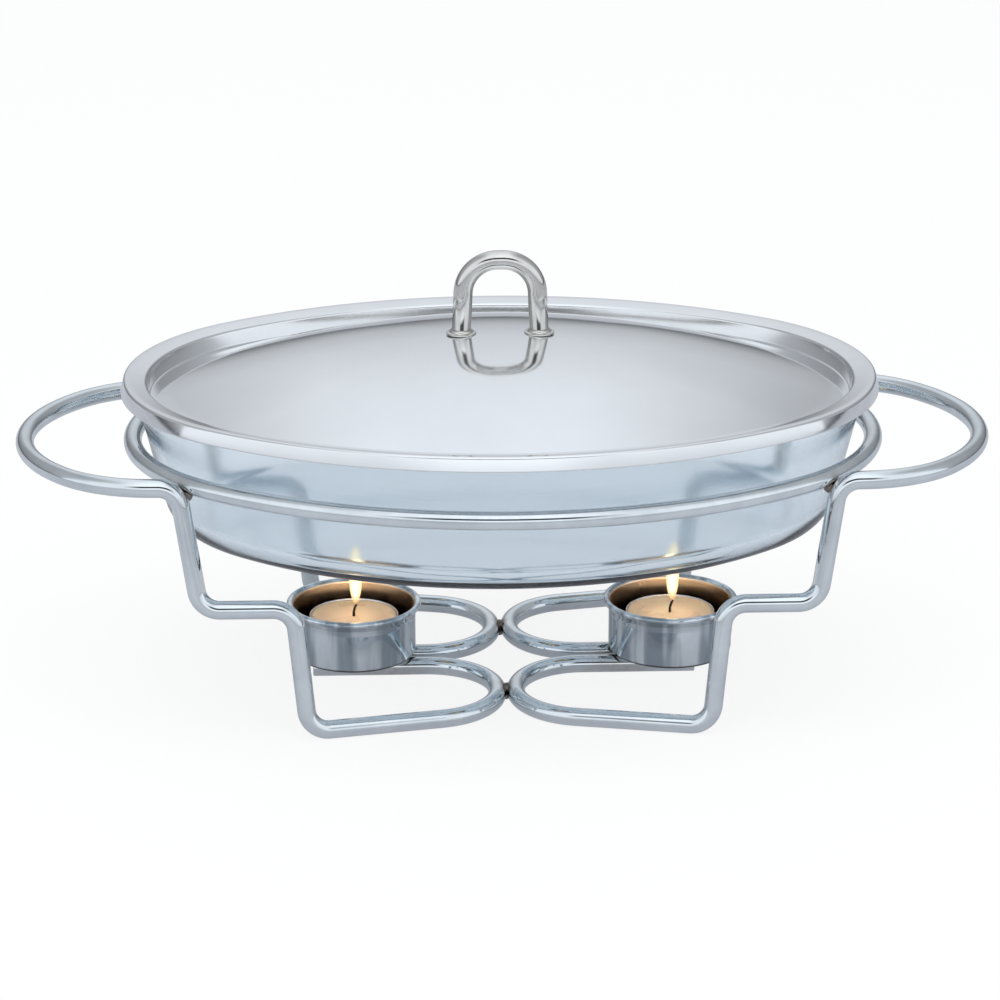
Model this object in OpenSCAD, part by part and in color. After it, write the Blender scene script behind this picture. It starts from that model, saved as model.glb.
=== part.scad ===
// Candle-heated oval buffet server: a glass dish with a domed steel lid, held in a
// chromed wire stand over two tealights.
// +X runs along the dish, +Z is up. The origin is on the table, under the dish's centre.

/* [Wire stand] */
// Diameter of the stand's wire
wire_d = 8; // [6:0.5:9]
// Half length of the support ring, at the centre of its wire
ring_half_l = 164; // [160:1:167]
// Half width of the support ring, at the centre of its wire
ring_half_w = 118; // [115:1:122]
// Radius of the round ends of the oval
oval_end_r = 96; // [90:1:100]
// Height of the centre of the ring and of the two handle loops
ring_z = 112; // [104:1:125]
// Distance from the centre to the far end of each handle loop
handle_tip_x = 211.5; // [200:0.5:225]
// Half width of each handle loop
handle_half_w = 71.3; // [68:0.1:74]
// Radius of the far end of each handle loop
handle_tip_r = 80; // [79.5:0.5:84]
// Distance from the centre to the corner where a handle turns down into a leg
corner_x = 141.3; // [139:0.1:142.4]
// Height of the step in each leg
step_z = 58.5; // [50:0.5:66]
// Outer end of the step
step_outer_x = 132.9; // [126:0.1:138]
// Inner end of the step
step_inner_x = 92.7; // [88:0.1:98]
// Distance from the centre to the foot of each leg
foot_x = 87.1; // [84:0.1:95]
// How far the legs spread outwards for each unit that they go down
leg_splay = 0.11; // [0.04:0.01:0.18]
// Radius of the bends in the legs
bend_r = 10; // [8:0.5:11]
// Distance from the centre line to the two inner strands that carry the cups
strand_y = 7.7; // [6:0.1:10]
// Half width of the base where its strands curve inwards
hairpin_y = 65.2; // [60:0.2:70]
// Where the inner strands are cut off, under the cups
strand_end_x = 86; // [80:1:92]

/* [Candle cups] */
// Half the distance between the two cups
cup_x = 71.4; // [66:0.1:74]
// How far the pair of cups sits towards +X
cup_shift = 4; // [0:0.5:5]
// Outer radius of a cup's wall
cup_r = 27.7; // [26:0.1:29]
// Height of a cup
cup_h = 25.2; // [22:0.1:28]
// Thickness of the cup's steel
cup_wall = 0.8; // [0.5:0.1:1.2]
// Radius of the cup's bottom corner
cup_corner_r = 3; // [2:0.5:5]
// Radius of the rolled bead around the cup's mouth
cup_bead_r = 1.3; // [1:0.1:1.6]

/* [Glass dish] */
// Height of the dish's underside
dish_bottom_z = 72.8; // [70:0.2:80]
// Height of the dish's rim
dish_rim_z = 137.8; // [136:0.1:145]
// Slope of the dish's wall, in degrees from upright
dish_slope = 13.5; // [8:0.5:16]
// Radius of the rounded edge around the dish's underside
dish_heel_r = 16.8; // [10:0.2:20]
// Thickness of the glass wall
glass_t = 5; // [4:0.25:6.5]
// Thickness of the glass bottom
glass_floor_t = 6; // [5:0.25:8]
// Gap between the dish and the ring along the sides
dish_clearance = 0.3; // [0.2:0.05:0.6]
// Further gap between the dish and the ring at the two ends
dish_end_gap = 4; // [2:0.25:5]
// How far the dish and its lid sit towards +X in the ring
dish_shift = -1.4; // [-2:0.1:2]

/* [Lid] */
// Half length of the lid
lid_half_l = 167.3; // [167:0.1:169]
// Height of the flat flange above the skirt's lower edge
lid_skirt_h = 3.7; // [3:0.1:6]
// Width of the flat flange
lid_flange_w = 13; // [11:0.2:14]
// Depth of the trough that sits inside the dish's rim
lid_trough_h = 7; // [4:0.2:9]
// Rise of the dome above the trough
lid_dome_h = 26; // [20:0.5:34]
// Thickness of the lid's steel
lid_t = 0.8; // [0.6:0.1:1.2]

/* [Lid handle] */
// Diameter of the handle's wire
handle_d = 8.5; // [7:0.1:9.5]
// Distance between the handle's feet
handle_span = 34.4; // [30:0.2:40]
// How far each leg leans inwards on its way up
handle_lean = 1.6; // [0:0.1:3]
// Height of the handle above the dome
handle_h = 37.2; // [32:0.2:46]
// Radius of the flared collar at each foot
collar_r = 6.6; // [6:0.1:8]
// Radius of the screws that hold the handle
screw_r = 2; // [1.5:0.1:2.5]

/* [Tealights] */
// Outer radius of a tealight's can
can_r = 20; // [19:0.1:21]
// Height of a tealight's can
can_h = 17.6; // [14:0.2:19]
// Thickness of the can's foil
can_wall = 0.35; // [0.25:0.05:0.5]
// How far the melted pool lies below the wax's edge
pool_depth = 1.1; // [0.5:0.1:2]
// Radius of the wick
wick_r = 0.8; // [0.6:0.1:1.2]
// Length of wick above the pool
wick_h = 4.2; // [3:0.2:6]

/* [Smoothness] */
// Facets around each round wire and edge
round_fn = 48; // [24:4:64]
// Sides of the oval outline of the dish and the lid
oval_sides = 96; // [72:8:112]

/* [Hidden] */

$fn = round_fn;
LEFT = -1;
RIGHT = 1;
wire_r = wire_d / 2;

// Bent lengths are this much thicker than straight ones, which end a little way inside them.
bend_swell = 0.02;
seam_lap = 0.06;

// The oval has four arcs: two ends about (+-end_c, 0), and two sides about (0, -+side_c).
function side_r(half_l, half_w, end_r) =
    ((half_l - end_r) ^ 2 + half_w ^ 2 - end_r ^ 2) / (2 * (half_w - end_r));
function seam_angle(half_l, half_w, end_r) =
    atan2(side_r(half_l, half_w, end_r) - half_w, half_l - end_r);

// The point of an oval where its outward normal has the angle a, moved outwards by grow.
function oval_point(half_l, half_w, end_r, a, grow) =
    let (
        seam = seam_angle(half_l, half_w, end_r),
        on_end = abs(sin(a)) <= sin(seam),
        r = on_end ? end_r : side_r(half_l, half_w, end_r),
        c = on_end ? [sign(cos(a)) * (half_l - end_r), 0] : [0, sign(sin(a)) * (half_w - r)]
    )
    c + (r + grow) * [cos(a), sin(a)];

function oval_ring(half_l, half_w, end_r, grow, z, scale = 1) = [
    for (i = [0:oval_sides - 1])
        let (p = scale * oval_point(half_l, half_w, end_r, 360 * (i + 0.5) / oval_sides, grow))
        [p.x, p.y, z]
];

function arc(cx, cy, r, from, to, steps) = [
    for (i = [0:steps]) let (a = from + (to - from) * i / steps) [cx + r * cos(a), cy + r * sin(a)]
];

function flatten(lists) = [for (l = lists) each l];
function reversed(list) = [for (i = [len(list) - 1:-1:0]) list[i]];
function unit(v) = v / norm(v);

// Handle loop: the strands meet their end arc at this angle, through side arcs that fit between.
loop_turn = 50;
loop_apex_x = handle_tip_x + handle_tip_r * (1 / cos(90 - loop_turn) - 1);
loop_side_x = loop_apex_x - handle_half_w / tan(loop_turn);
loop_side_len = handle_half_w / sin(loop_turn) - handle_tip_r * tan(90 - loop_turn) - 1;
loop_side_r = loop_side_len / tan(loop_turn / 2);

// Base: the outer strand runs from the foot towards the hairpin.
weld_gap = 0.1;
hairpin_x = wire_r + weld_gap;
step_y = handle_half_w + leg_splay * (ring_z - step_z);
foot_y = handle_half_w + leg_splay * (ring_z - wire_r);
strand_turn = 90 - atan2(foot_y - hairpin_y, foot_x - hairpin_x);
hairpin_r = (hairpin_y - strand_y - 0.5) / (1 + tan(strand_turn / 2));

// The front half of a frame wire, from its cut end under the cup to the handle's far end.
// Each row is a corner and the radius of the bend there.
frame_half = [
    [[strand_end_x, -strand_y, wire_r], 0],
    [[hairpin_x, -strand_y, wire_r], hairpin_r],
    [[hairpin_x, -hairpin_y, wire_r], hairpin_r],
    [[foot_x, -foot_y, wire_r], bend_r],
    [[step_inner_x, -step_y, step_z], bend_r],
    [[step_outer_x, -step_y, step_z], bend_r],
    [[corner_x, -handle_half_w, ring_z], bend_r],
    [[loop_side_x, -handle_half_w, ring_z], loop_side_r],
    [[loop_apex_x, 0, ring_z], handle_tip_r],
];
frame_back = [
    for (row = reversed(frame_half)) if (row[0].y != 0) [[row[0].x, -row[0].y, row[0].z], row[1]]
];
frame_path = concat(frame_half, frame_back);

function cup_centre_x(side) = side * cup_x + cup_shift;
cup_bottom_z = wire_d;
cup_floor_z = cup_bottom_z + cup_wall;
cup_mouth_z = cup_bottom_z + cup_h;

// Dish: its oval is the ring's, shorter by the gap at the ends.
dish_half_l = ring_half_l - dish_end_gap;
dish_end_r = oval_end_r - dish_end_gap;
dish_wall_grow = -(wire_r + dish_clearance) / cos(dish_slope);
dish_rim_r = 2;
dish_heel_grow = dish_wall_grow + (dish_bottom_z + dish_heel_r - ring_z) * tan(dish_slope)
    - dish_heel_r / cos(dish_slope);
dish_inner_heel_r = dish_heel_r - glass_t;
dish_inner_bottom_z = dish_bottom_z + glass_floor_t;

// Lid: its oval runs parallel to the ring's.
lid_grow = lid_half_l - ring_half_l;
seat_gap = 0.15;
lid_bead_r = 2;
lid_bead_dip = 0.5;
lid_flange_z = dish_rim_z + seat_gap + lid_bead_dip + lid_t;
lid_trough_z = lid_flange_z - lid_trough_h;
lid_apex_z = lid_trough_z + lid_dome_h;
lid_slant = 2.5;
dome_steps = 10;

screw_len = 12;
washer_t = 1;
handle_top_r = handle_span / 2 - handle_lean - 0.4;
handle_top_z = lid_apex_z + handle_h - handle_d / 2;
collar_h = 2;
// The dome is a little lower at the handle's feet than at its apex.
foot_drop = lid_dome_h * (handle_span / 2 / (lid_half_l - lid_flange_w)) ^ 2;
handle_foot_z = lid_apex_z - foot_drop + 0.22;
washer_z = lid_apex_z - lid_t - foot_drop - 0.4 - washer_t;

can_bottom_z = cup_floor_z + seat_gap;
wick_base_r = 6.5;
wick_base_t = 0.3;
can_floor_z = can_bottom_z + can_wall;
wax_top_z = can_bottom_z + can_h - 0.3;
wax_rim_w = 2;
wick_foot_z = can_floor_z + wick_base_t;
fit_gap = 0.02;

// One straight length of wire between two points.
module wire_straight(from, to, d) {
    z_dir = unit(to - from);
    x_dir = unit(abs(z_dir.z) > 0.9 ? cross([0, 1, 0], z_dir) : cross([0, 0, 1], z_dir));
    y_dir = cross(z_dir, x_dir);
    multmatrix([
        [x_dir.x, y_dir.x, z_dir.x, from.x],
        [x_dir.y, y_dir.y, z_dir.y, from.y],
        [x_dir.z, y_dir.z, z_dir.z, from.z],
    ])
        cylinder(h = norm(to - from), d = d);
}

// One bend of wire at the corner p1, between the directions of p0 and p2.
module wire_bend(p0, p1, p2, r, d) {
    u1 = unit(p1 - p0);
    u2 = unit(p2 - p1);
    turn = acos(u1 * u2);
    inward = unit(u2 - (u1 * u2) * u1);
    centre = p1 - u1 * r * tan(turn / 2) + inward * r;
    z_dir = cross(-inward, u1);
    multmatrix([
        [-inward.x, u1.x, z_dir.x, centre.x],
        [-inward.y, u1.y, z_dir.y, centre.y],
        [-inward.z, u1.z, z_dir.z, centre.z],
    ])
        rotate_extrude(angle = turn, $fn = 2 * round_fn)
            translate([r, 0])
                circle(d = d + 2 * bend_swell, $fn = round_fn);
}

// Length that the bend at corner i takes from the straights on both sides of it.
function bend_len(path, i) =
    i == 0 || i == len(path) - 1 ? 0 :
    let (
        u1 = unit(path[i][0] - path[i - 1][0]),
        u2 = unit(path[i + 1][0] - path[i][0])
    )
    path[i][1] * tan(acos(u1 * u2) / 2);

// A wire that is straight between its corners and bent at each of them.
module bent_wire(path, d) {
    for (i = [1:len(path) - 1]) {
        p0 = path[i - 1][0];
        p1 = path[i][0];
        u = unit(p1 - p0);
        from = p0 + u * (bend_len(path, i - 1) - (i > 1 ? seam_lap : 0));
        to = p1 - u * (bend_len(path, i) - (i < len(path) - 1 ? seam_lap : 0));
        wire_straight(from, to, d);
    }
    for (i = [1:len(path) - 2]) wire_bend(path[i - 1][0], path[i][0], path[i + 1][0], path[i][1], d);
}

// A closed shell from a stack of rings, which starts and ends in a point on the centre line.
module lofted_shell(rings, tip_start, tip_end) {
    n = oval_sides;
    m = len(rings);
    points = concat(flatten(rings), [tip_start, tip_end]);
    start_i = n * m;
    end_i = n * m + 1;
    sides = [
        for (j = [0:m - 2], i = [0:n - 1])
            let (
                a = j * n + i,
                b = j * n + (i + 1) % n,
                c = (j + 1) * n + (i + 1) % n,
                e = (j + 1) * n + i
            )
            each [[a, c, b], [a, e, c]]
    ];
    start_fan = [for (i = [0:n - 1]) [start_i, i, (i + 1) % n]];
    end_fan = [for (i = [0:n - 1]) [end_i, (m - 1) * n + (i + 1) % n, (m - 1) * n + i]];
    polyhedron(points, concat(sides, start_fan, end_fan), convexity = 6);
}

module support_ring() {
    side = side_r(ring_half_l, ring_half_w, oval_end_r);
    seam = seam_angle(ring_half_l, ring_half_w, oval_end_r);
    lap = 0.02;
    color("silver")
        translate([0, 0, ring_z])
            for (flip = [0, 180])
                rotate([0, 0, flip]) {
                    translate([ring_half_l - oval_end_r, 0, 0])
                        rotate([0, 0, -seam])
                            rotate_extrude(angle = 2 * seam, $fn = 4 * round_fn)
                                translate([oval_end_r, 0])
                                    circle(d = wire_d + 2 * bend_swell, $fn = round_fn);
                    translate([0, ring_half_w - side, 0])
                        rotate([0, 0, seam - lap])
                            rotate_extrude(angle = 180 - 2 * (seam - lap), $fn = 8 * round_fn)
                                translate([side, 0])
                                    circle(d = wire_d, $fn = round_fn);
                }
}

module frame_wire(side) {
    color("silver")
        mirror([side == LEFT ? 1 : 0, 0, 0])
            bent_wire(frame_path, wire_d);
}

// Beads of weld between the ring and the four corners of the frame.
module ring_welds() {
    bead_r = 3.2;
    bead_x = corner_x - 3.4;
    bead_y = handle_half_w - 3.6;
    color("dimgray")
        for (x = [-bead_x, bead_x], y = [-bead_y, bead_y])
            translate([x, y, ring_z - 4.6])
                sphere(r = bead_r, $fn = 24);
}

// Beads of weld where the two frame wires meet, at the front and at the back of the base.
module base_welds() {
    bead_y = strand_y + hairpin_r;
    color("dimgray")
        for (y = [-bead_y, bead_y], z = [-1, 1])
            translate([0, y, wire_r + z * 1.9])
                sphere(r = 1.7, $fn = 24);
}

// Beads of weld under the cups, where each one stands on the inner strands.
module cup_welds() {
    color("dimgray")
        for (side = [LEFT, RIGHT], y = [-strand_y, strand_y], x = [-16, 0])
            translate([cup_centre_x(side) + x, y + sign(y) * 2.4, cup_bottom_z - 1])
                sphere(r = 1.5, $fn = 24);
}

// Half section of a cup: its wall curls over a bead at the mouth.
function cup_section() =
    let (
        bead_x = cup_r + cup_bead_r + 0.05,
        curl_r = bead_x - (cup_r - cup_wall)
    )
    concat(
        [[0, 0]],
        arc(cup_r - cup_corner_r, cup_corner_r, cup_corner_r, -90, 0, 5),
        arc(bead_x, cup_h - cup_bead_r, cup_bead_r, -150, 80, 8),
        arc(bead_x, cup_h - curl_r, curl_r, 90, 180, 5),
        arc(cup_r - cup_corner_r, cup_corner_r, cup_corner_r - cup_wall, 0, -90, 5),
        [[0, cup_wall]]
    );

module candle_cup(side) {
    color("lightsteelblue")
        translate([cup_centre_x(side), 0, cup_bottom_z])
            rotate_extrude($fn = 2 * round_fn)
                polygon(cup_section());
}

function dish_ring(grow, z) = oval_ring(dish_half_l, ring_half_w, dish_end_r, grow, z);
function dish_grow_at(z) = dish_wall_grow + (z - ring_z) * tan(dish_slope);

// The dish's section as [grow, z]: up the outside, over the rim and down the inside.
function dish_section() =
    let (
        inset = glass_t / cos(dish_slope),
        inner_heel_z = dish_inner_bottom_z + dish_inner_heel_r,
        inner_heel_grow = dish_grow_at(inner_heel_z) - inset
            - dish_inner_heel_r / cos(dish_slope),
        rim_c_z = dish_rim_z - dish_rim_r,
        rim_grow = dish_grow_at(rim_c_z),
        rim_inset = dish_rim_r / cos(dish_slope)
    )
    concat(
        arc(dish_heel_grow, dish_bottom_z + dish_heel_r, dish_heel_r, -90, -dish_slope, 7),
        arc(rim_grow - rim_inset, rim_c_z, dish_rim_r, -dish_slope, 90, 4),
        arc(rim_grow - inset + rim_inset, rim_c_z, dish_rim_r, 90, 180 - dish_slope, 4),
        arc(inner_heel_grow, inner_heel_z, dish_inner_heel_r, -dish_slope, -90, 6)
    );

module glass_dish() {
    rings = [for (p = dish_section()) dish_ring(p[0], p[1])];
    color("lightblue", 0.5)
        translate([dish_shift, 0, 0])
            lofted_shell(rings, [0, 0, dish_bottom_z], [0, 0, dish_inner_bottom_z]);
}

function lid_ring(inset, z, scale = 1) =
    oval_ring(ring_half_l, ring_half_w, oval_end_r, lid_grow - inset, z, scale);

// One skin of the lid as rings, from the skirt's edge to near the apex; depth is how far the
// skin lies inside the outer one.
function lid_skin(depth) = concat(
    [
        for (p = concat(
            [[depth, lid_flange_z - lid_skirt_h]],
            arc(lid_bead_r, lid_flange_z - lid_bead_r, lid_bead_r - depth, 180, 60, 4),
            [
                [lid_bead_r * 2.2, lid_flange_z - lid_bead_dip - depth],
                [lid_flange_w - 0.8, lid_flange_z - depth],
                [lid_flange_w, lid_flange_z - 0.4 - depth],
                [lid_flange_w + lid_slant - 0.5, lid_trough_z + 0.6 - depth],
                [lid_flange_w + lid_slant, lid_trough_z - depth],
            ]
        ))
            lid_ring(p[0], p[1])
    ],
    [
        for (i = [1:dome_steps - 1])
            let (k = 1 - i / dome_steps)
            lid_ring(lid_flange_w + lid_slant, lid_trough_z + lid_dome_h * (1 - k ^ 2) - depth, k)
    ]
);

module lid_shell() {
    outer = lid_skin(0);
    inner = lid_skin(lid_t);
    color("gainsboro")
        translate([dish_shift, 0, 0])
            difference() {
                lofted_shell(
                    concat(reversed(inner), outer),
                    [0, 0, lid_apex_z - lid_t],
                    [0, 0, lid_apex_z]
                );
                for (x = [-handle_span / 2, handle_span / 2])
                    translate([x, 0, lid_apex_z - 10])
                        cylinder(r = screw_r + 0.2, h = 20);
            }
}

module lid_handle() {
    foot = [handle_span / 2, 0, handle_foot_z];
    top = [handle_span / 2 - handle_lean, 0, handle_top_z];
    path = [
        [[-foot.x, 0, foot.z], 0],
        [[-top.x, 0, top.z], handle_top_r],
        [[top.x, 0, top.z], handle_top_r],
        [[foot.x, 0, foot.z], 0],
    ];
    color("silver")
        translate([dish_shift, 0, 0])
            difference() {
                bent_wire(path, handle_d);
                for (side = [LEFT, RIGHT])
                    translate([side * foot.x, 0, foot.z - 1])
                        cylinder(r = screw_r, h = screw_len);
            }
}

// Flared collars between the handle's feet and the dome.
module handle_collars() {
    neck_r = handle_d / 2 + 0.16;
    section = [
        [neck_r, 0],
        [collar_r, 0],
        [collar_r + 0.1, 0.35],
        [collar_r - 0.5, 0.7],
        [neck_r + 0.9, 1.1],
        [neck_r + 0.4, collar_h],
        [neck_r, collar_h],
    ];
    color("silver")
        for (side = [LEFT, RIGHT])
            translate([dish_shift + side * handle_span / 2, 0, handle_foot_z])
                rotate_extrude()
                    polygon(section);
}

module handle_washers() {
    color("silver")
        for (side = [LEFT, RIGHT])
            translate([dish_shift + side * handle_span / 2, 0, washer_z])
                difference() {
                    cylinder(r = 5, h = washer_t);
                    translate([0, 0, -1])
                        cylinder(r = screw_r + 0.2, h = washer_t + 2);
                }
}

module handle_screws() {
    head_h = 2.2;
    head_z = washer_z - head_h;
    color("gray")
        for (side = [LEFT, RIGHT])
            translate([dish_shift + side * handle_span / 2, 0, head_z])
                difference() {
                    union() {
                        cylinder(r = 3.6, h = head_h);
                        cylinder(r = screw_r - fit_gap, h = head_h + screw_len - 1);
                    }
                    for (turn = [0, 90])
                        rotate([0, 0, turn])
                            translate([-2.2, -0.4, -1])
                                cube([4.4, 0.8, 2]);
                }
}

module tealight_can(side) {
    color("gainsboro")
        translate([cup_centre_x(side), 0, can_bottom_z])
            difference() {
                cylinder(r = can_r, h = can_h);
                translate([0, 0, can_wall])
                    cylinder(r = can_r - can_wall, h = can_h);
            }
}

// Half section of the wax, around the wick and over its base.
function wax_section() =
    let (wax_r = can_r - can_wall - fit_gap, bore_r = wick_r + fit_gap)
    concat(
        [
            [bore_r, wick_foot_z],
            [wick_base_r + fit_gap, wick_foot_z],
            [wick_base_r + fit_gap, can_floor_z],
            [wax_r, can_floor_z],
            [wax_r, wax_top_z],
            [wax_r - wax_rim_w / 2, wax_top_z],
        ],
        arc(
            wax_r - wax_rim_w / 2 - pool_depth, wax_top_z, pool_depth, 0, -90, 4
        ),
        [[bore_r, wax_top_z - pool_depth]]
    );

module tealight_wax(side) {
    color("wheat")
        translate([cup_centre_x(side), 0, 0])
            rotate_extrude($fn = 2 * round_fn)
                polygon(wax_section());
}

module wick_base(side) {
    color("silver")
        translate([cup_centre_x(side), 0, can_floor_z])
            cylinder(r = wick_base_r, h = wick_base_t);
}

// The wick leans to one side above the pool.
module wick(side) {
    pool_z = wax_top_z - pool_depth;
    path = [
        [[0, 0, wick_foot_z], 0],
        [[0, 0, pool_z + 0.4 * wick_h], wick_h / 2],
        [[0.45 * wick_h, 0, pool_z + wick_h], 0],
    ];
    color("black")
        translate([cup_centre_x(side), 0, 0])
            bent_wire(path, 2 * wick_r);
}

support_ring();
frame_wire(LEFT);  // frame_wire_left
frame_wire(RIGHT);  // frame_wire_right
ring_welds();
base_welds();
cup_welds();
candle_cup(LEFT);  // candle_cup_left
candle_cup(RIGHT);  // candle_cup_right
glass_dish();
lid_shell();
lid_handle();
handle_collars();
handle_washers();
handle_screws();
tealight_can(LEFT);  // tealight_can_left
tealight_can(RIGHT);  // tealight_can_right
tealight_wax(LEFT);  // tealight_wax_left
tealight_wax(RIGHT);  // tealight_wax_right
wick_base(LEFT);  // wick_base_left
wick_base(RIGHT);  // wick_base_right
wick(LEFT);  // wick_left
wick(RIGHT);  // wick_right
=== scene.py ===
"""Looks of a candle-heated oval buffet server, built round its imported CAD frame.

Every size is in metres in the CAD's own frame: +X towards the right handle, +Y to the back.
"""

import math

import bmesh
import bpy
import numpy as np
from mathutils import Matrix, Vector


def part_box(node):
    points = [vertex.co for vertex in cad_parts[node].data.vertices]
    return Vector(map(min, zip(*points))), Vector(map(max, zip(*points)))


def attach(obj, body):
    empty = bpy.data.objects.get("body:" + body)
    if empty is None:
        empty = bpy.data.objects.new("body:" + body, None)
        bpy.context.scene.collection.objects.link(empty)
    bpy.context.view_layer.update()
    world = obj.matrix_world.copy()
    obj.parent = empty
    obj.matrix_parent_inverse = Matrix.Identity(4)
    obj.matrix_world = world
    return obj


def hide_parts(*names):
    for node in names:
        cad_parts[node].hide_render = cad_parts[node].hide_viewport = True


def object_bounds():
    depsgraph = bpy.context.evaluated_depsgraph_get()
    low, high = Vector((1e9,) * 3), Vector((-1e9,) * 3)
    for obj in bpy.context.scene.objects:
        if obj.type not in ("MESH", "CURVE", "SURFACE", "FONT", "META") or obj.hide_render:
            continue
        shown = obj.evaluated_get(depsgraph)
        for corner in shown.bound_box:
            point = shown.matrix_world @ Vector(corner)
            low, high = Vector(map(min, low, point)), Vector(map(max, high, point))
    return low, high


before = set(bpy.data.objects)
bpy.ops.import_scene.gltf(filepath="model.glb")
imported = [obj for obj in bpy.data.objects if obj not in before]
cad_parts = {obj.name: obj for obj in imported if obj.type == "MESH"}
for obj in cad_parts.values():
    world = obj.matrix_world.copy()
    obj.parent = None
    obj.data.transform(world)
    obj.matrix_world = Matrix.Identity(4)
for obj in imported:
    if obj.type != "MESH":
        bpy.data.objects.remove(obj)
CAD_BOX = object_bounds()

MM = 0.001
TAU = 2 * math.pi
SIDES = {"left": -1, "right": 1}

# ---------------------------------------------------------------- places read from the CAD
RING_LO, RING_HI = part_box("support_ring")
WIRE_R = (RING_HI.z - RING_LO.z) / 2
RING_Z = (RING_HI.z + RING_LO.z) / 2
RING_HALF_L = RING_HI.x - WIRE_R
RING_HALF_W = RING_HI.y - WIRE_R
DISH_LO, DISH_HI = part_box("glass_dish")
DISH_X = (DISH_LO.x + DISH_HI.x) / 2
LID_LO, LID_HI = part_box("lid_shell")
HANDLE_LO, HANDLE_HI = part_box("lid_handle")
LOOP_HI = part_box("frame_wire_right")[1]

# ---------------------------------------------------------------- sizes that no CAD box gives
RING_END_R = 96 * MM            # radius of the ring's ends
STEP_Y = 77.2 * MM              # how far in front of the middle, or behind it, a leg steps out
STEP_Z = 58.5 * MM              # and how high up
WELD_X, WELD_Y, WELD_Z = 137.9 * MM, 67.7 * MM, 107.4 * MM     # a frame wire's weld on the ring
HAIRPIN_WELD_Y = 39 * MM        # where the two base loops are welded together
CUP_OUTER_R = 27.7 * MM
CUP_WALL = 0.8 * MM
POOL_DEPTH = 1.1 * MM           # how far the melted pool lies under the wax's edge
WICK_RISE = 1.9 * MM            # from the CAD wick's top to just over the tip of this one
FLAME_H = 24.4 * MM
FLAME_R = 2.8 * MM
DISH_FLOOR_T = 6 * MM
LID_DOME_H = 26 * MM            # from the trough to the top of the dome
LID_TROUGH_H = 7 * MM           # from the trough to the flange
LID_T = 0.8 * MM


# ---------------------------------------------------------------- geometry helpers
def unit(v):
    return v / np.linalg.norm(v)


def rounded(corners, step):
    """Points along a path that bends at its corners (point, radius), a point every step of angle."""
    points = [np.array(corners[0][0], float)]
    for (a, _), (b, radius), (c, _) in zip(corners, corners[1:], corners[2:]):
        a, b, c = (np.array(p, float) for p in (a, b, c))
        u, v = unit(b - a), unit(c - b)
        turn = math.acos(max(-1.0, min(1.0, float(u @ v))))
        if radius <= 0 or turn < 1e-6:
            points.append(b)
            continue
        inward = unit(v - (u @ v) * u)
        centre = b - u * radius * math.tan(turn / 2) + inward * radius
        steps = max(2, math.ceil(turn / step))
        for i in range(steps + 1):
            t = turn * i / steps
            points.append(centre - inward * radius * math.cos(t) + u * radius * math.sin(t))
    points.append(np.array(corners[-1][0], float))
    return np.array(points)


def arc(cx, cy, r, start, end, steps):
    """Points round a centre, from one angle to another, in degrees."""
    t = np.radians(np.linspace(start, end, steps + 1))
    return [(cx + r * math.cos(a), cy + r * math.sin(a)) for a in t]


def eased_end(point, inward, radius, cap_r):
    """Points and radii that round off the end of a tube, from its flat face inwards."""
    angles = [share * math.pi / 2 for share in (0.0, 0.3, 0.65, 0.9)]
    points = [point + inward * cap_r * (1 - math.cos(a)) for a in angles]
    radii = [radius - cap_r * (1 - math.sin(a)) for a in angles]
    return points, radii


def tube_rings(path, radius, sides, closed=False, cap_r=0.5 * MM):
    """Rings round a path. Radius is one number or one for each point; open ends are eased."""
    path = np.asarray(path, float)
    radii = np.broadcast_to(np.asarray(radius, float), (len(path),)).copy()
    if closed:
        tangents = np.roll(path, -1, 0) - np.roll(path, 1, 0)
    else:
        tangents = np.gradient(path, axis=0)
    tangents /= np.linalg.norm(tangents, axis=1)[:, None]
    if not closed:
        first, first_r = eased_end(path[0], tangents[0], radii[0], cap_r)
        last, last_r = eased_end(path[-1], -tangents[-1], radii[-1], cap_r)
        path = np.vstack([first, path[1:-1], last[::-1]])
        radii = np.r_[first_r, radii[1:-1], last_r[::-1]]
        tangents = np.vstack([[tangents[0]] * len(first), tangents[1:-1],
                              [tangents[-1]] * len(last)])
    up = np.array([0, 0, 1.0]) if abs(tangents[0][2]) < 0.9 else np.array([1.0, 0, 0])
    side = unit(np.cross(tangents[0], up))
    turn = TAU * np.arange(sides) / sides
    rings = []
    for p, t, r in zip(path, tangents, radii):
        side = unit(side - (side @ t) * t)
        other = np.cross(t, side)
        rings.append(p + r * (np.cos(turn)[:, None] * side + np.sin(turn)[:, None] * other))
    return np.array(rings)


def lathe_rings(profile, centre, sides):
    """Rings round a vertical axis from a profile of (radius, height)."""
    turn = TAU * np.arange(sides) / sides
    circle = np.c_[np.cos(turn), np.sin(turn)]
    return np.array([
        np.c_[centre[0] + r * circle[:, 0], centre[1] + r * circle[:, 1],
              np.full(sides, centre[2] + z)]
        for r, z in profile
    ])


def seat(node):
    """The foot, height and radius of a round CAD node that stands on the X axis."""
    lo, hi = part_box(node)
    return ((lo.x + hi.x) / 2, 0.0, lo.z), hi.z - lo.z, (hi.x - lo.x) / 2


def on_axis(foot, *heights):
    """Points straight above a foot."""
    return [np.array(foot) + [0, 0, height] for height in heights]


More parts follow.
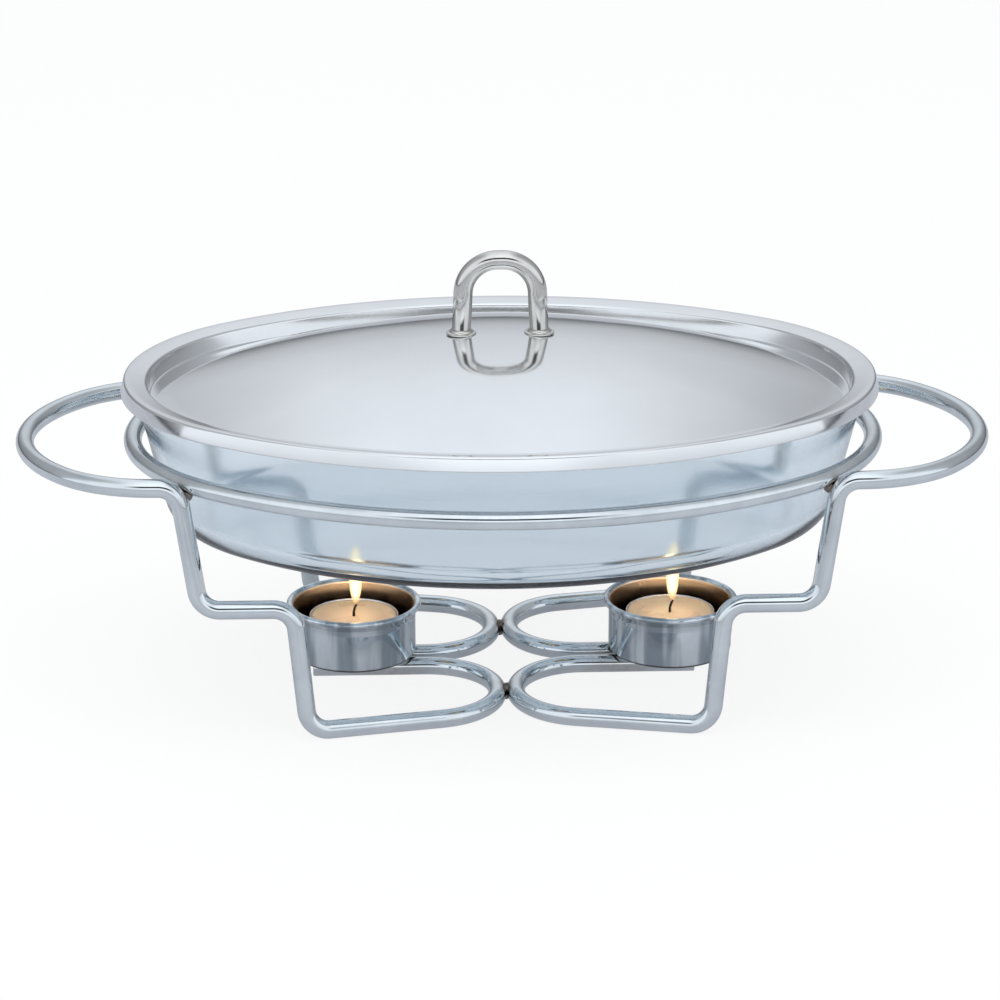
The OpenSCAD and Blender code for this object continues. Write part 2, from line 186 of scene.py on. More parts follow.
def skin(rings, closed=False, tips=None):
    """Vertices and faces of a closed surface through rings; tips are its two end points."""
    m, n = rings.shape[:2]
    verts = rings.reshape(-1, 3)
    faces = []
    for j in range(m if closed else m - 1):
        a, b = j * n, ((j + 1) % m) * n
        faces += [(a + i, a + (i + 1) % n, b + (i + 1) % n, b + i) for i in range(n)]
    if not closed:
        first, last = tips if tips is not None else (rings[0].mean(0), rings[-1].mean(0))
        verts = np.vstack([verts, first, last])
        faces += [(m * n, (i + 1) % n, i) for i in range(n)]
        end = (m - 1) * n
        faces += [(m * n + 1, end + i, end + (i + 1) % n) for i in range(n)]
    return verts, faces


def joined(parts):
    """Several (vertices, faces) as one."""
    verts, faces, base = [], [], 0
    for v, f in parts:
        verts.append(np.asarray(v))
        faces += [tuple(base + i for i in face) for face in f]
        base += len(v)
    return np.vstack(verts), faces


def piece(name, geometry, material, body, slot, *nodes):
    """A new smooth piece of the object, which stands for the CAD nodes it names."""
    verts, faces = geometry
    mesh = bpy.data.meshes.new(name)
    mesh.from_pydata([tuple(v) for v in verts], [], faces)
    bm = bmesh.new()
    bm.from_mesh(mesh)
    bmesh.ops.recalc_face_normals(bm, faces=bm.faces)
    for face in bm.faces:
        face.smooth = True
    bm.to_mesh(mesh)
    bm.free()
    mesh.materials.append(material)
    obj = bpy.data.objects.new(name, mesh)
    bpy.context.scene.collection.objects.link(obj)
    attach(obj, body)
    if nodes:
        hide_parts(*nodes)
    return obj


def paint(obj, material):
    """Gives a carried-over CAD node its new material."""
    obj.data.materials.clear()
    obj.data.materials.append(material)


# ---------------------------------------------------------------- ovals
def side_radius(half_l, half_w, end_r):
    """Radius of an oval's two long arcs, where they run smoothly into its ends."""
    return ((half_l - end_r) ** 2 + half_w ** 2 - end_r ** 2) / (2 * (half_w - end_r))


class Oval:
    """A four-centre oval and its parallel offsets, sampled evenly along its length."""

    def __init__(self, half_l, half_w, end_r, samples, centre_x=0.0):
        self.centre = np.array([centre_x, 0.0])
        side_r = side_radius(half_l, half_w, end_r)
        seam = math.atan2(side_r - half_w, half_l - end_r)
        arcs = [(end_r, -seam, seam, (half_l - end_r, 0)),
                (side_r, seam, math.pi - seam, (0, half_w - side_r)),
                (end_r, math.pi - seam, math.pi + seam, (end_r - half_l, 0)),
                (side_r, math.pi + seam, TAU - seam, (0, side_r - half_w))]
        lengths = np.array([r * (b - a) for r, a, b, _ in arcs])
        ends = np.cumsum(lengths)
        points, normals = [], []
        for s in (np.arange(samples) + 0.5) / samples * ends[-1]:
            k = int(np.searchsorted(ends, s))
            r, a, b, c = arcs[k]
            t = a + (b - a) * (s - (ends[k] - lengths[k])) / lengths[k]
            normal = np.array([math.cos(t), math.sin(t)])
            normals.append(normal)
            points.append(np.array(c) + r * normal)
        self.points, self.normals = np.array(points), np.array(normals)

    def ring(self, grow, z, scale=1.0):
        """The oval at height z, grown outwards and then scaled about its centre."""
        flat = self.centre + scale * (self.points + grow * self.normals)
        return np.c_[flat, np.full(len(flat), z)]


# ---------------------------------------------------------------- material helpers
class Shade:
    """A node material under construction, with short calls for the nodes that it uses."""

    def __init__(self, name):
        self.mat = bpy.data.materials.new(name)
        self.mat.use_nodes = True
        self.tree = self.mat.node_tree
        self.bsdf = self.tree.nodes["Principled BSDF"]
        self.out = self.tree.nodes["Material Output"]
        self.coords = self.node("ShaderNodeTexCoord").outputs["Object"]

    def node(self, kind, **values):
        made = self.tree.nodes.new(kind)
        for key, value in values.items():
            setattr(made, key, value)
        return made

    def link(self, source, target):
        self.tree.links.new(source, target)

    def set(self, **values):
        for key, value in values.items():
            self.bsdf.inputs[key.replace("_", " ")].default_value = value
        return self

    def stretched(self, scale):
        """Coordinates for a noise that is drawn out along each axis whose scale is small."""
        mapping = self.node("ShaderNodeMapping")
        mapping.inputs["Scale"].default_value = scale
        self.link(self.coords, mapping.inputs["Vector"])
        return mapping.outputs["Vector"]

    def noise(self, scale, detail=2.0, rough=0.5, coords=None):
        made = self.node("ShaderNodeTexNoise")
        made.inputs["Scale"].default_value = scale
        made.inputs["Detail"].default_value = detail
        made.inputs["Roughness"].default_value = rough
        self.link(coords or self.coords, made.inputs["Vector"])
        return made.outputs["Fac"]

    def remap(self, value, low, high, at_low, at_high, smooth=False):
        """A value's range from low to high, mapped to at_low up to at_high and held there."""
        made = self.node("ShaderNodeMapRange")
        if smooth:
            made.interpolation_type = "SMOOTHSTEP"
        ends = (low, high, at_low, at_high)
        for socket, end in zip(("From Min", "From Max", "To Min", "To Max"), ends):
            made.inputs[socket].default_value = end
        self.link(value, made.inputs["Value"])
        return made.outputs["Result"]

    def math(self, operation, a, b=None):
        made = self.node("ShaderNodeMath", operation=operation)
        for socket, v in zip(made.inputs, (a, b)):
            if isinstance(v, (int, float)):
                socket.default_value = v
            elif v is not None:
                self.link(v, socket)
        return made.outputs["Value"]

    def mix(self, factor, a, b):
        made = self.node("ShaderNodeMix", data_type="RGBA")
        for key, v in ((0, factor), (6, a), (7, b)):
            if isinstance(v, (int, float)):
                made.inputs[key].default_value = v
            elif isinstance(v, tuple):
                made.inputs[key].default_value = (*v, 1.0)
            else:
                self.link(v, made.inputs[key])
        return made.outputs[2]

    def bump(self, height, distance, strength, after=None):
        made = self.node("ShaderNodeBump")
        made.inputs["Strength"].default_value = strength
        made.inputs["Distance"].default_value = distance
        self.link(height, made.inputs["Height"])
        if after is not None:
            self.link(after, made.inputs["Normal"])
        return made.outputs["Normal"]

    def near(self, point, inside, outside, folded=True):
        """1 within the distance inside of a point, falling to 0 at outside.

        Folded takes in the point's mirror images on the other sides of the origin too.
        """
        coords = self.coords
        if folded:
            folding = self.node("ShaderNodeVectorMath", operation="ABSOLUTE")
            self.link(coords, folding.inputs[0])
            coords = folding.outputs["Vector"]
        made = self.node("ShaderNodeVectorMath", operation="DISTANCE")
        self.link(coords, made.inputs[0])
        made.inputs[1].default_value = point
        return self.remap(made.outputs["Value"], inside, outside, 1.0, 0.0, smooth=True)

    def axes(self):
        made = self.node("ShaderNodeSeparateXYZ")
        self.link(self.coords, made.inputs[0])
        return made.outputs

    def radius_from(self, x, y):
        """Distance from the vertical line through x, y."""
        flat = self.node("ShaderNodeVectorMath", operation="MULTIPLY_ADD")
        flat.inputs[1].default_value = (1.0, 1.0, 0.0)
        flat.inputs[2].default_value = (-x, -y, 0.0)
        self.link(self.coords, flat.inputs[0])
        length = self.node("ShaderNodeVectorMath", operation="LENGTH")
        self.link(flat.outputs["Vector"], length.inputs[0])
        return length.outputs["Value"]

    def to(self, socket, value):
        self.link(value, self.bsdf.inputs[socket])

    def feeding(self, socket):
        """The output that feeds one of the shader's sockets so far."""
        return self.bsdf.inputs[socket].links[0].from_socket

    def show(self, factor, first, second):
        """Makes the surface a mix of two shaders, first where factor is 0."""
        both = self.node("ShaderNodeMixShader")
        for socket, source in zip(both.inputs, (factor, first, second)):
            self.link(source, socket)
        self.link(both.outputs[0], self.out.inputs["Surface"])


def metal(name, clean, cloudy, rough, cloud_scale, scratch, scratch_depth):
    """A polished metal with cloudy wiping marks and fine scratches.

    rough holds the clean roughness, the cloudy one, and what a scratch adds. scratch holds
    the noise scale of the scratches, and their stretch along each axis.
    """
    s = Shade(name).set(Metallic=1.0)
    clouds = s.noise(cloud_scale, 4.0, 0.6)
    s.to("Base Color", s.mix(s.remap(clouds, 0.35, 0.7, 0.0, 1.0), clean, cloudy))
    fine = s.noise(scratch[0], 3.0, 0.65, s.stretched(scratch[1]))
    level = s.math("ADD", s.remap(clouds, 0.3, 0.75, rough[0], rough[1]),
                   s.remap(fine, 0.55, 0.8, 0.0, rough[2]))
    s.to("Roughness", level)
    s.to("Normal", s.bump(fine, scratch_depth, 0.35))
    return s


# ---------------------------------------------------------------- materials
def chrome():
    """Bright wire, cloudy with wiping, with brown heat marks round its welds."""
    s = metal("chromed_wire", (0.80, 0.845, 0.865), (0.69, 0.735, 0.76),
              (0.015, 0.045, 0.03), 55.0, (900.0, (1.0, 1.0, 0.12)), 0.00002)
    on_ring = s.near((WELD_X, WELD_Y, WELD_Z), 3 * MM, 9 * MM)
    on_base = s.near((0.0, HAIRPIN_WELD_Y, WIRE_R), 2 * MM, 7 * MM)
    under_cup = s.near((52 * MM, 9 * MM, 2 * WIRE_R), 4 * MM, 26 * MM)
    marks = s.math("MAXIMUM", s.math("MULTIPLY", on_ring, 0.75), s.math("MULTIPLY", on_base, 0.8))
    marks = s.math("MAXIMUM", marks, s.math("MULTIPLY", under_cup, 0.4))
    blotch = s.math("MULTIPLY", marks, s.remap(s.noise(260.0, 3.0), 0.3, 0.65, 0.35, 1.0))
    s.to("Base Color", s.mix(blotch, s.feeding("Base Color"), (0.36, 0.27, 0.19)))
    return s.mat


def weld():
    """Dark, rough steel with a brown heat tint."""
    s = Shade("weld_bead").set(Metallic=1.0)
    grain = s.noise(900.0, 4.0, 0.6)
    s.to("Base Color", s.mix(grain, (0.12, 0.115, 0.11), (0.42, 0.36, 0.30)))
    s.to("Roughness", s.remap(grain, 0.3, 0.7, 0.22, 0.5))
    s.to("Normal", s.bump(grain, 0.0003, 0.6))
    return s.mat


def cup_material(name, node):
    """Bright rolled steel with upright streaked bands outside, partly drawing marks and partly
    painted reflections; inside, painted shade low down under a warm band of painted flame
    reflection.
    """
    (x, y, bottom), height, _ = seat(node)
    s = metal(name, (0.87, 0.93, 0.96), (0.77, 0.83, 0.87),
              (0.05, 0.11, 0.06), 70.0, (700.0, (1.0, 1.0, 0.06)), 0.00003)
    # Upright darker bands: drawing marks, and painted reflections of the dark things nearby.
    drawn_streaks_and_painted_reflections = s.noise(95.0, 2.5, 0.6, s.stretched((1.0, 1.0, 0.1)))
    rolled = s.remap(drawn_streaks_and_painted_reflections, 0.40, 0.60, 0.0, 1.0, smooth=True)
    outside = s.mix(rolled, (0.38, 0.44, 0.48), s.feeding("Base Color"))
    wall_r, edge = CUP_OUTER_R - CUP_WALL / 2, 0.2 * MM
    within = s.remap(s.radius_from(x, y), wall_r - edge, wall_r + edge, 1.0, 0.0)
    z = s.axes()["Z"]
    inside = s.math("MULTIPLY", within, s.remap(z, bottom + edge, bottom + 3 * edge, 0.0, 1.0))
    # Inside, painted shade low down and above it a warm band that paints the flame's reflection,
    # with a wavy edge between them.
    wobble = s.math("MULTIPLY", s.noise(120.0, 3.0), 0.2 * height)
    tint = s.remap(s.math("SUBTRACT", z, wobble), bottom + 0.45 * height, bottom + 0.7 * height,
                   0.0, 1.0, smooth=True)
    painted_shade_and_flame_reflection = s.mix(tint, (0.055, 0.034, 0.03), (1.0, 0.79, 0.58))
    s.to("Base Color", s.mix(inside, outside, painted_shade_and_flame_reflection))
    s.to("Roughness", s.math("ADD", s.feeding("Roughness"), s.math("MULTIPLY", inside, 0.22)))
    return s.mat


def glass():
    """Thick pressed glass, tinted by its depth, with a slow wave and a faint smear."""
    s = Shade("dish_glass").set(Base_Color=(0.96, 0.98, 0.99, 1.0), IOR=1.5,
                                Transmission_Weight=1.0)
    wave = s.noise(9.0, 1.0)
    smear = s.noise(38.0, 4.0, 0.6)
    s.to("Roughness", s.remap(smear, 0.4, 0.8, 0.06, 0.12))
    s.to("Normal", s.bump(wave, 0.0022, 0.5))
    tint = s.node("ShaderNodeVolumeAbsorption")
    tint.inputs["Color"].default_value = (0.60, 0.705, 0.80, 1.0)
    tint.inputs["Density"].default_value = 75.0
    s.link(tint.outputs[0], s.out.inputs["Volume"])
    return s.mat


def lid_steel():
    """Polished sheet, brushed from front to back, with a slow wave from the press."""
    s = metal("lid_steel", (0.88, 0.89, 0.90), (0.83, 0.84, 0.85),
              (0.06, 0.12, 0.04), 14.0, (420.0, (1.0, 0.1, 1.0)), 0.00001)
    wave = s.noise(16.0, 2.0)
    s.to("Normal", s.bump(wave, 0.0002, 0.4, after=s.feeding("Normal")))
    return s.mat


def handle_steel():
    return metal("handle_steel", (0.77, 0.755, 0.72), (0.66, 0.645, 0.61),
                 (0.05, 0.11, 0.08), 120.0, (900.0, (1.0, 1.0, 0.1)), 0.00002).mat


def fastener():
    return metal("fastener_steel", (0.62, 0.63, 0.64), (0.48, 0.49, 0.5),
                 (0.22, 0.4, 0.1), 300.0, (900.0, (1.0, 1.0, 1.0)), 0.00004).mat


def foil():
    return metal("can_foil", (0.88, 0.88, 0.89), (0.78, 0.78, 0.8),
                 (0.2, 0.34, 0.08), 160.0, (600.0, (1.0, 1.0, 0.2)), 0.0001).mat


def wax(name, painted_glow_x):
    """Paraffin, mottled and translucent, with a painted warm glow round its flame."""
    s = Shade(name).set(IOR=1.44, Specular_IOR_Level=0.5)
    s.set(Subsurface_Weight=0.3, Subsurface_Scale=0.003, Subsurface_Radius=(1.0, 0.55, 0.3))
    mottled = s.noise(160.0, 4.0, 0.6)
    broad = s.noise(45.0, 2.0)
    cream = s.mix(s.remap(broad, 0.35, 0.65, 0.0, 1.0), (0.92, 0.77, 0.58), (0.95, 0.84, 0.67))
    s.to("Base Color", s.mix(s.remap(mottled, 0.5, 0.8, 0.0, 0.5), cream, (0.90, 0.80, 0.68)))
    s.to("Roughness", s.remap(broad, 0.3, 0.7, 0.18, 0.42))
    s.to("Normal", s.bump(mottled, 0.0003, 0.5))
    # The emission paints the flame's warm light onto the wax round the wick.
    s.set(Emission_Color=(1.0, 0.62, 0.34, 1.0))
    painted_glow_mask = s.near((painted_glow_x, 0.0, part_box("tealight_wax_left")[1].z), 2 * MM, 24 * MM, folded=False)
    s.to("Emission Strength", s.math("MULTIPLY", painted_glow_mask, 0.07))
    return s.mat


def wick():
    """Braided cotton, charred nearly black."""
    s = Shade("wick")
    braid = s.noise(2600.0, 3.0, 0.7)
    s.to("Base Color", s.mix(braid, (0.008, 0.006, 0.005), (0.05, 0.035, 0.028)))
    s.to("Roughness", s.remap(braid, 0.3, 0.7, 0.75, 1.0))
    s.to("Normal", s.bump(braid, 0.0003, 1.0))
    return s.mat


def flame(name, low, low_colour, high, high_colour, strength, solid):
    """A glowing body whose colour climbs with height; solid is its share of opacity."""
    s = Shade(name)
    glow = s.node("ShaderNodeEmission")
    z = s.axes()["Z"]
    wisps = s.math("MULTIPLY", s.noise(500.0, 2.0), 1.5 * MM)
    climb = s.remap(s.math("ADD", z, wisps), low, high, 0.0, 1.0, smooth=True)
    s.link(s.mix(climb, low_colour, high_colour), glow.inputs["Color"])
    glow.inputs["Strength"].default_value = strength
    clear = s.node("ShaderNodeBsdfTransparent")
    s.show(s.remap(climb, 0.0, 1.0, 0.35 * solid, solid), clear.outputs[0], glow.outputs[0])
    return s.mat


def flame_materials():
    """A thin orange outer body and a dense pale core, both paler higher up."""
    top_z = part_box("wick_left")[1].z
    return {
        "outer": flame("flame_outer", top_z - 1 * MM, (0.9, 0.30, 0.05),
                       top_z + 9 * MM, (1.0, 0.76, 0.40), 1.7, 0.65),
        "core": flame("flame_core", top_z, (1.0, 0.5, 0.14),
                      top_z + 7 * MM, (1.0, 0.91, 0.68), 2.2, 0.92),
    }


# ---------------------------------------------------------------- wire stand
def frame_path():
    """Corners of the right frame wire, from one cut end to the other, with their radii."""
    handle_y = 71.3 * MM
    tip_x = LOOP_HI.x - WIRE_R
    tip_r = 80 * MM
    turn = math.radians(50)
    apex_x = tip_x + tip_r * (1 / math.cos(math.pi / 2 - turn) - 1)
    side_x = apex_x - handle_y / math.tan(turn)
    side_len = handle_y / math.sin(turn) - tip_r * math.tan(math.pi / 2 - turn) - 1 * MM
    side_r = side_len / math.tan(turn / 2)
    strand_y, hairpin_y = 7.7 * MM, 65.2 * MM
    hairpin_x = WIRE_R + 0.1 * MM
    foot_x, foot_y = 87.1 * MM, LOOP_HI.y - WIRE_R
    strand_end_x, leg_x, step_x, handle_x = 86 * MM, 92.7 * MM, 132.9 * MM, 141.3 * MM
    strand_turn = math.pi / 2 - math.atan2(foot_y - hairpin_y, foot_x - hairpin_x)
    hairpin_r = (hairpin_y - strand_y - 0.5 * MM) / (1 + math.tan(strand_turn / 2))
    bend_r = 10 * MM
    half = [
        ((strand_end_x, -strand_y, WIRE_R), 0),
        ((hairpin_x, -strand_y, WIRE_R), hairpin_r),
        ((hairpin_x, -hairpin_y, WIRE_R), hairpin_r),
        ((foot_x, -foot_y, WIRE_R), bend_r),
        ((leg_x, -STEP_Y, STEP_Z), bend_r),
        ((step_x, -STEP_Y, STEP_Z), bend_r),
        ((handle_x, -handle_y, RING_Z), bend_r),
        ((side_x, -handle_y, RING_Z), side_r),
        ((apex_x, 0, RING_Z), tip_r),
    ]
    back = [((x, -y, z), r) for (x, y, z), r in half[:-1]][::-1]
    return half + back


def build_stand(chrome_mat, weld_mat):
    oval = Oval(RING_HALF_L, RING_HALF_W, RING_END_R, 360)
    rings = tube_rings(oval.ring(0, RING_Z), WIRE_R, 40, closed=True)
    piece("support_ring_wire", skin(rings, closed=True), chrome_mat, "stand",
          "chromed_wire", "support_ring")
    path = rounded(frame_path(), math.radians(4))
    for name, side in SIDES.items():
        rings = tube_rings(path * [side, 1, 1], WIRE_R, 40)
        piece(f"frame_wire_{name}_bent", skin(rings), chrome_mat, "stand",
              "chromed_wire", f"frame_wire_{name}")
    build_welds(weld_mat)


def bead(centre, along, length, width, seed):
    """One lumpy bead of weld: a rippled ball, longer in the direction along."""
    twist, ripple = np.random.default_rng(seed).uniform(0, TAU, 2)
    sides, levels = 20, 14
    along = unit(np.array(along, float))
    across = unit(np.cross(along, [0.3, 0.2, 1.0]))
    third = np.cross(along, across)
    lon = TAU * np.arange(sides) / sides
    rings = []
    for j in range(1, levels):
        lat = math.pi * j / levels
        lump = 1 + 0.09 * np.sin(3 * lon + twist + 4 * lat) + 0.06 * np.sin(9 * lat + ripple)
        r = width * math.sin(lat) * lump
        rings.append(np.array(centre) + along * (-length * math.cos(lat))
                     + r[:, None] * (np.cos(lon)[:, None] * across + np.sin(lon)[:, None] * third))
    tips = (np.array(centre) - along * length, np.array(centre) + along * length)
    return skin(np.array(rings), tips=tips)


def build_welds(weld_mat):
    """Beads where the frame wires cross the ring, meet each other and carry the cups."""
    ring_beads = [
        bead((x * WELD_X, y * WELD_Y, WELD_Z + 0.4 * MM), (-0.75 * x * y, 1, 0),
             3.4 * MM, 2.7 * MM, seed)
        for seed, (x, y) in enumerate([(-1, -1), (1, -1), (1, 1), (-1, 1)], 11)
    ]
    base_beads = [
        bead((0, y * HAIRPIN_WELD_Y, WIRE_R + z * 1.9 * MM), (0, 1, 0), 3.0 * MM, 1.7 * MM, seed)
        for seed, (y, z) in enumerate([(-1, -1), (-1, 1), (1, -1), (1, 1)], 21)
    ]
    cup_beads = []
    for name in SIDES:
        (cup_x, _, cup_z), _, _ = seat(f"candle_cup_{name}")
        for seed, (dx, y) in enumerate([(-16, -1), (0, -1), (-16, 1), (0, 1)], 31):
            spot = (cup_x + dx * MM, y * 10.1 * MM, cup_z - 0.9 * MM)
            cup_beads.append(bead(spot, (1, 0, 0), 2.2 * MM, 1.4 * MM, seed))
    for place, beads in (("ring", ring_beads), ("base", base_beads), ("cup", cup_beads)):
        piece(f"{place}_weld_beads", joined(beads), weld_mat, "stand", "weld", f"{place}_welds")


# ---------------------------------------------------------------- cups and tealights
def cup_profile(height):
    """Half section of a cup, from the centre of its underside round to the inside."""
    wall, outer_r, corner, bead_r = CUP_WALL, CUP_OUTER_R, 3 * MM, 1.3 * MM
    bead_x = outer_r + bead_r + 0.05 * MM
    curl = bead_x - (outer_r - wall)
    floor = [(r * MM, 0.0) for r in (6, 12, 18, 22)]
    inner_floor = [(r * MM, wall) for r in (22, 18, 12, 6)]
    return (floor + arc(outer_r - corner, corner, corner, -90, 0, 10)
            + [(outer_r, 0.4 * height), (outer_r, 0.7 * height)]
            + arc(bead_x, height - bead_r, bead_r, -150, 80, 18)
            + arc(bead_x, height - curl, curl, 90, 180, 10)
            + [(outer_r - wall, 0.7 * height), (outer_r - wall, 0.4 * height)]
            + arc(outer_r - corner, corner, corner - wall, 0, -90, 8) + inner_floor)


def build_cup(name):
    node = f"candle_cup_{name}"
    foot, height, _ = seat(node)
    rings = lathe_rings(cup_profile(height), foot, 144)
    piece(f"{node}_drawn", skin(rings, tips=on_axis(foot, 0.0, CUP_WALL)),
          cup_material(f"cup_steel_{name}", node), "stand", "cup_steel", node)


def can_profile(radius, height, wall):
    """Half section of a can, from the centre of its underside round to the inside."""
    side, corner, roll = radius - 0.25 * MM, 1.2 * MM, 0.32 * MM
    return ([(r * MM, 0.0) for r in (6, 12, 16)]
            + arc(side - corner, corner, corner, -90, 0, 6)
            + [(side, 0.3 * height), (side, 0.6 * height), (side, 0.85 * height)]
            + arc(radius - roll, height - roll, roll, -60, 150, 8)
            + [(side - wall, 0.85 * height), (side - wall, 0.5 * height)]
            + arc(side - corner, corner, corner - wall, 0, -90, 5)
            + [(r * MM, wall) for r in (16, 12, 6)])


def build_can(name, foil_mat):
    """A foil can with a fluted side and a tight rolled edge."""
    foot, height, radius = seat(f"tealight_can_{name}")
    wall, flutes, flute_depth = 0.3 * MM, 60, 0.09 * MM
    rings = lathe_rings(can_profile(radius, height, wall), foot, 180)
    spin = np.arctan2(rings[..., 1], rings[..., 0] - foot[0])
    span = np.clip((rings[..., 2] - foot[2]) / height, 0, 1)
    flute = np.abs(flute_depth * np.sin(flutes * spin) * np.sin(np.pi * span) ** 2)
    rings[..., 0] -= flute * np.cos(spin)
    rings[..., 1] -= flute * np.sin(spin)
    piece(f"tealight_can_{name}_foil", skin(rings, tips=on_axis(foot, 0.0, wall)), foil_mat,
          f"tealight_{name}", "can_foil", f"tealight_can_{name}")


def wax_profile(radius, top):
    """Half section of the wax: a flat foot, a straight side, a shore and a melted pool."""
    shore = [(1.3, 0.05), (2.0, 0.3), (2.6, 0.65), (3.4, 0.92), (4.6, 1.05)]
    pool_z = top - POOL_DEPTH
    return ([(r * MM, 0.0) for r in (4, 9, 14, 18)] + [(radius - 0.3 * MM, 0.0)]
            + [(radius, 0.4 * MM), (radius, 0.5 * top), (radius, top - 0.5 * MM)]
            + arc(radius - 0.5 * MM, top - 0.5 * MM, 0.5 * MM, 20, 90, 4)
            + [(radius - inset * MM, top - drop * MM) for inset, drop in shore]
            + [(r * MM, pool_z) for r in (13, 10.5, 8, 6, 4.4, 3.2)]
            + [(2.2 * MM, pool_z + 0.08 * MM), (1.4 * MM, pool_z + 0.3 * MM)])


def build_wax(name, wax_mat):
    """Wax with a melted pool, a soft uneven shore and a meniscus up the wick."""
    foot, top, radius = seat(f"tealight_wax_{name}")
    radius -= 0.4 * MM
    rings = lathe_rings(wax_profile(radius, top), foot, 120)
    x, y, z = rings[..., 0] - foot[0], rings[..., 1], rings[..., 2]
    spin, far = np.arctan2(y, x), np.hypot(x, y)
    shore = np.exp(-((far - (radius - 3 * MM)) / (2.2 * MM)) ** 2) * (z > foot[2] + 0.5 * top)
    phase = 0.8 if name == "left" else 2.1
    lumps = np.sin(3 * spin + phase) + 0.6 * np.sin(5 * spin + 2 * phase) + 0.4 * np.sin(8 * spin)
    rings[..., 2] += 0.16 * MM * shore * (lumps - 1.2)
    tips = on_axis(foot, 0.0, top - POOL_DEPTH + 0.35 * MM)
    piece(f"tealight_wax_{name}_melted", skin(rings, tips=tips), wax_mat,
          f"tealight_{name}", "wax", f"tealight_wax_{name}")


def build_wick(name, wick_mat):
    """A charred wick that curls over at its tip; gives back a point just over the tip."""
    lo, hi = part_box(f"wick_{name}")
    foot_x = lo.x + 0.8 * MM
    flame_x = foot_x + 0.9 * MM
    pool_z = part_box(f"tealight_wax_{name}")[1].z - POOL_DEPTH
    top = hi.z + WICK_RISE
    path = rounded([
        ((foot_x, 0, lo.z), 0), ((foot_x, 0, pool_z + 0.4 * (top - pool_z)), 1.4 * MM),
        ((flame_x, 0, top - 1.0 * MM), 0.8 * MM), ((foot_x + 1.6 * MM, 0, top - 0.9 * MM), 0),
    ], math.radians(8))
    dense = [path[0]]
    for a, b in zip(path, path[1:]):
        steps = max(1, math.ceil(np.linalg.norm(b - a) / (0.35 * MM)))
        dense += [a + (b - a) * (i + 1) / steps for i in range(steps)]
    along = np.linspace(0, 1, len(dense))
    radii = 0.66 * MM * (1 - 0.35 * along ** 3) * (1 + 0.07 * np.sin(40 * along))
    rings = tube_rings(dense, radii, 18, cap_r=0.3 * MM)
    piece(f"wick_{name}_charred", skin(rings), wick_mat, f"tealight_{name}", "wick",
          f"wick_{name}")
    return flame_x, top


def flame_body(x, bottom, height, radius, lean):
    """A candle flame's teardrop, which leans a little as it climbs."""
    levels, sides = 26, 32
    turn = TAU * np.arange(sides) / sides
    rings = []
    for j in range(1, levels):
        t = j / levels
        width = radius * math.sin(math.pi * t ** 0.95) ** 0.5
        sway = lean * t ** 2
        rings.append(np.c_[x + sway + width * np.cos(turn), width * np.sin(turn),
                           np.full(sides, bottom + height * t)])
    tips = (np.array([x, 0.0, bottom]), np.array([x + lean, 0.0, bottom + height]))
    return skin(np.array(rings), tips=tips)


def build_flame_light(name, place):
    lamp = bpy.data.lights.new(f"flame_{name}", "POINT")
    lamp.energy = 0.007
    lamp.color = (1.0, 0.66, 0.36)
    lamp.shadow_soft_size = 2 * MM
    obj = bpy.data.objects.new(f"flame_light_{name}", lamp)
    obj.location = place
    bpy.context.scene.collection.objects.link(obj)
    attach(obj, f"tealight_{name}")


def build_flame(name, x, wick_top, flame_mats):
    """Two nested glowing bodies, and the light that they give."""
    bottom = wick_top - 0.3 * MM
    outer = flame_body(x, bottom, FLAME_H, FLAME_R, 0.3 * MM)
    core = flame_body(x, bottom + 2.4 * MM, FLAME_H * 0.82, FLAME_R * 0.68, 0.2 * MM)
    for part, shape in (("outer", outer), ("core", core)):
        obj = piece(f"flame_{name}_{part}", shape, flame_mats[part], f"tealight_{name}", None)
        obj.visible_shadow = False
    build_flame_light(name, (x, 0.0, bottom + 0.35 * FLAME_H))


def build_tealights(foil_mat, wick_mat, flame_mats, fastener_mat):
    for name in SIDES:
        build_can(name, foil_mat)
        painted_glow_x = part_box(f"wick_{name}")[0].x + 1.5 * MM
        build_wax(name, wax(f"wax_{name}", painted_glow_x))
        flame_x, wick_top = build_wick(name, wick_mat)
        build_flame(name, flame_x, wick_top, flame_mats)
        paint(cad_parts[f"wick_base_{name}"], fastener_mat)


# ---------------------------------------------------------------- glass dish
def dish_section():
    """The dish's section as (growth from its oval, z), and the growth at each end of it."""
    slope = math.radians(13.5)
    wall, floor_t, heel_r, rim_r = 5 * MM, DISH_FLOOR_T, 16.8 * MM, 2 * MM
    bottom, straight = DISH_LO.z, 3 * MM
    touching = -(WIRE_R + 0.3 * MM) / math.cos(slope)

    def grow_at(z):
        return touching + (z - RING_Z) * math.tan(slope)

    deg = math.degrees(slope)
    inset = wall / math.cos(slope)
    heel_z = bottom + heel_r
    heel_grow = grow_at(heel_z) - heel_r / math.cos(slope)
    inner_r = heel_r - wall
    inner_z = bottom + floor_t + inner_r
    inner_grow = grow_at(inner_z) - inset - inner_r / math.cos(slope)
    rim_z = DISH_HI.z - rim_r
    rim_grow, rim_inset = grow_at(rim_z), rim_r / math.cos(slope)
    section = (arc(heel_grow, heel_z, heel_r, -90, -deg, 20)
               + [(grow_at(z), z) for z in np.linspace(heel_z + straight, rim_z - straight, 5)]
               + arc(rim_grow - rim_inset, rim_z, rim_r, -deg, 90, 8)
               + arc(rim_grow - inset + rim_inset, rim_z, rim_r, 90, 180 - deg, 8)
               + [(grow_at(z) - inset, z)
                  for z in np.linspace(rim_z - straight, inner_z + straight, 5)]
               + arc(inner_grow, inner_z, inner_r, -deg, -90, 16))
    return section, heel_grow, inner_grow


